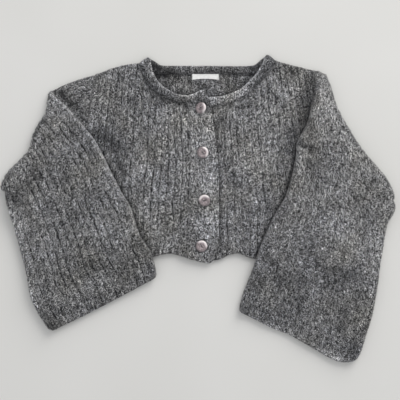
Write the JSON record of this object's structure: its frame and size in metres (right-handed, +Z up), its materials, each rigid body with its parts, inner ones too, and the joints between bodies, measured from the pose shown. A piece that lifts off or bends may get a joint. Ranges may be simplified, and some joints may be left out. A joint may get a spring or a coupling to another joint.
{
  "type": "cropped cardigan",
  "caption": "Cropped ribbed wool cardigan, buttoned and laid flat on its back, both sleeves folded over the front; blank woven label inside the neck.",
  "frame": {"origin": "middle of the footprint, on the surface that the garment lies on", "axes": "+X to the viewer's right across both sleeves, the longest way; +Y up to the neck; +Z up from the surface, the shortest way"},
  "size_m": [0.6912, 0.5356, 0.0204],
  "materials": {
    "melange_wool": "fuzzy ribbed wool melange",
    "band_wool": "fuzzy plain wool melange",
    "pearl": "smoky grey pearl",
    "woven_label": "white woven satin, blank"
  },
  "bodies": {
    "root": {"back": "melange_wool", "front_right": "melange_wool", "front_left": "melange_wool", "sleeve_right": "melange_wool", "sleeve_left": "melange_wool", "neck_band": "band_wool", "button_1": "pearl", "button_2": "pearl", "button_3": "pearl", "button_4": "pearl", "label": "woven_label"}
  },
  "joints": []
}
